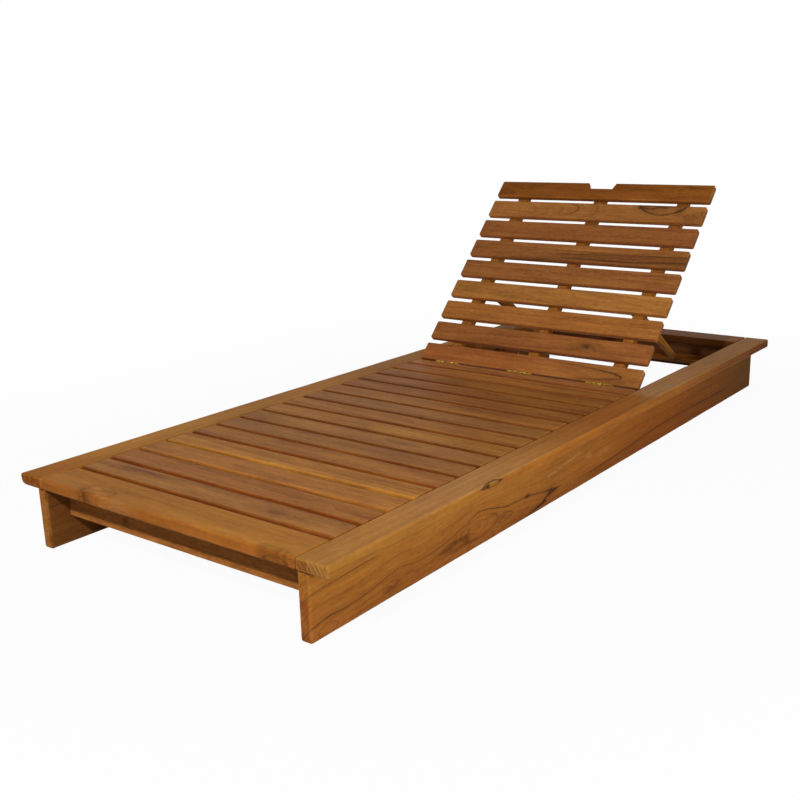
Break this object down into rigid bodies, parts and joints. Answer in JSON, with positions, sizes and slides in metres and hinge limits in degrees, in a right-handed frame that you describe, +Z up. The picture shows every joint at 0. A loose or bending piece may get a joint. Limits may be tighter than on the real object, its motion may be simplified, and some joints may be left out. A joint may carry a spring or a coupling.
{
  "type": "sun lounger",
  "caption": "Low teak sun lounger with a slatted deck between flat side rails, a hinged slatted backrest with a hand grip, and a folding prop that sets its angle.",
  "frame": {"origin": "middle of the footprint, on the ground", "axes": "+X to the right of a person lying on it, +Y from the foot end to the head end, +Z up"},
  "size_m": [0.82, 2, 0.6227],
  "materials": {
    "rail_teak": "satin oiled",
    "side_teak": "satin oiled",
    "deck_teak": "satin oiled",
    "back_teak": "satin oiled",
    "hidden_teak": "planed",
    "hinge_brass": "satin"
  },
  "bodies": {
    "frame": {"side_rail_left": "rail_teak", "side_rail_right": "rail_teak", "head_rail": "rail_teak", "side_board_left": "side_teak", "side_board_right": "side_teak", "foot_board": "hidden_teak", "head_board": "hidden_teak", "bearer_left": "hidden_teak", "bearer_right": "hidden_teak", "bearer_center": "hidden_teak", "hinge_beam": "hidden_teak", "rack_left": "hidden_teak", "rack_right": "hidden_teak", "deck_slat_01": "rail_teak", "deck_slat_02": "deck_teak", "deck_slat_03": "deck_teak", "deck_slat_04": "deck_teak", "deck_slat_05": "deck_teak", "deck_slat_06": "deck_teak", "deck_slat_07": "deck_teak", "deck_slat_08": "deck_teak", "deck_slat_09": "deck_teak", "deck_slat_10": "deck_teak", "deck_slat_11": "deck_teak", "deck_slat_12": "deck_teak", "deck_slat_13": "deck_teak", "deck_slat_14": "deck_teak", "deck_slat_15": "deck_teak", "deck_slat_16": "deck_teak", "deck_slat_17": "deck_teak", "hinge_left_deck_leaf": "hinge_brass", "hinge_center_deck_leaf": "hinge_brass", "hinge_right_deck_leaf": "hinge_brass", "hinge_left_pin": "hinge_brass", "hinge_center_pin": "hinge_brass", "hinge_right_pin": "hinge_brass"},
    "backrest": {"hinge_left_back_leaf": "hinge_brass", "hinge_center_back_leaf": "hinge_brass", "hinge_right_back_leaf": "hinge_brass", "back_slat_1": "back_teak", "back_slat_2": "back_teak", "back_slat_3": "back_teak", "back_slat_4": "back_teak", "back_slat_5": "back_teak", "back_slat_6": "back_teak", "back_slat_7": "back_teak", "back_slat_8": "back_teak", "back_slat_9": "back_teak", "back_batten_left": "hidden_teak", "back_batten_center": "hidden_teak", "back_batten_right": "hidden_teak", "pivot_block_left": "hidden_teak", "pivot_block_right": "hidden_teak", "pivot_bolt_left": "hinge_brass", "pivot_bolt_right": "hinge_brass"},
    "prop": {"prop_arm_left": "side_teak", "prop_arm_right": "side_teak", "prop_crossbar": "side_teak"}
  },
  "joints": [
    {"name": "recline", "type": "hinge", "parent": "frame", "child": "backrest", "pos_m": [0, 0.2464, 0.151], "axis": [1, 0, 0], "range_deg": [-46.4, 18.6]},
    {"name": "prop_fold", "type": "hinge", "parent": "backrest", "child": "prop", "pos_m": [0, 0.45491, 0.3192], "axis": [1, 0, 0], "range_deg": [-31, 76]}
  ],
  "couplings": [
    {"joint": "prop_fold", "follows": "recline", "ratio": -1.6297}
  ]
}
